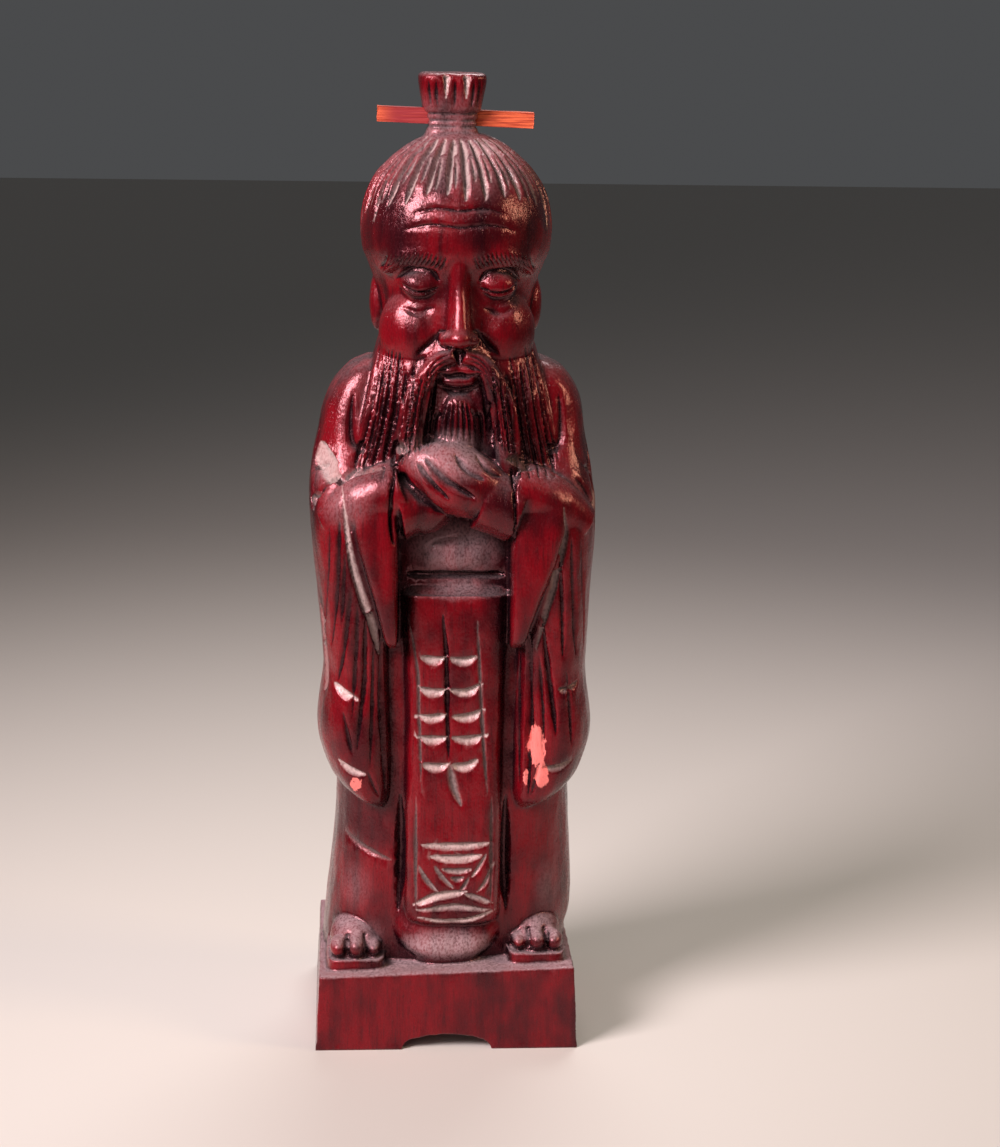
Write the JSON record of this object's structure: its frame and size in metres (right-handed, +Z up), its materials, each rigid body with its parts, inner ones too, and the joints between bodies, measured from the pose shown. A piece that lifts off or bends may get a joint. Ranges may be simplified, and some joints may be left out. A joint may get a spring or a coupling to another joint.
{
  "type": "carved wood scholar figure",
  "caption": "Standing robed elder carved from one wood block, hands clasped before the chest, on a square plinth, with a loose stick through the topknot.",
  "frame": {"origin": "centre of the plinth's underside, on the ground", "axes": "+Z up from the plinth to the topknot; the figure faces -Y; +X is on its left-hand side"},
  "size_m": [0.074, 0.0608, 0.25],
  "materials": {
    "lacquered_rosewood": "dark red lacquered rosewood, semi-gloss on raised parts and duller in the cuts",
    "bare_redwood": "raw orange-red split wood, matte"
  },
  "bodies": {
    "root": {"carved_figure": "lacquered_rosewood", "hairpin": "bare_redwood"}
  },
  "joints": []
}
